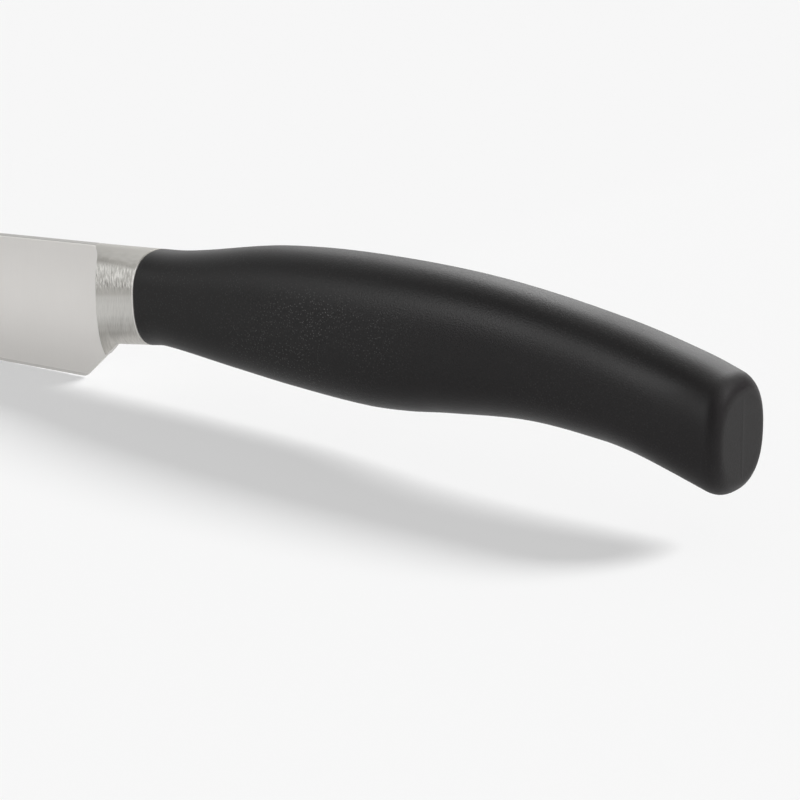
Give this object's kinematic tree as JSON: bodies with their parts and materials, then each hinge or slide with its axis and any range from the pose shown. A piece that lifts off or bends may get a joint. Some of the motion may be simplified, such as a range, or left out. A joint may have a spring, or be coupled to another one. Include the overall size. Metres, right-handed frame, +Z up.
{
  "type": "ham knife",
  "caption": "Long slim ham slicing knife: straight flat-ground blade with a diagonal heel, flared steel bolster and a curved black moulded handle.",
  "frame": {"origin": "on the board under the cutting edge, at the middle of the knife's length and of its thickness", "axes": "+X from the tip to the butt, parallel to the straight edge; +Y to the knife's right side; +Z up from the edge to the spine"},
  "size_m": [0.3812, 0.0184, 0.0312],
  "materials": {
    "blade_steel": "fine satin",
    "bolster_steel": "upright brushed streaks, coarser than the blade's satin",
    "handle_plastic": "black moulded plastic with a fine grain and a soft sheen",
    "pin_steel": "plain drawn pin, hidden in the handle"
  },
  "bodies": {
    "root": {"blade": "blade_steel", "bolster": "bolster_steel", "handle_left": "handle_plastic", "handle_right": "handle_plastic", "pin_front": "pin_steel", "pin_middle": "pin_steel", "pin_rear": "pin_steel"}
  },
  "joints": []
}
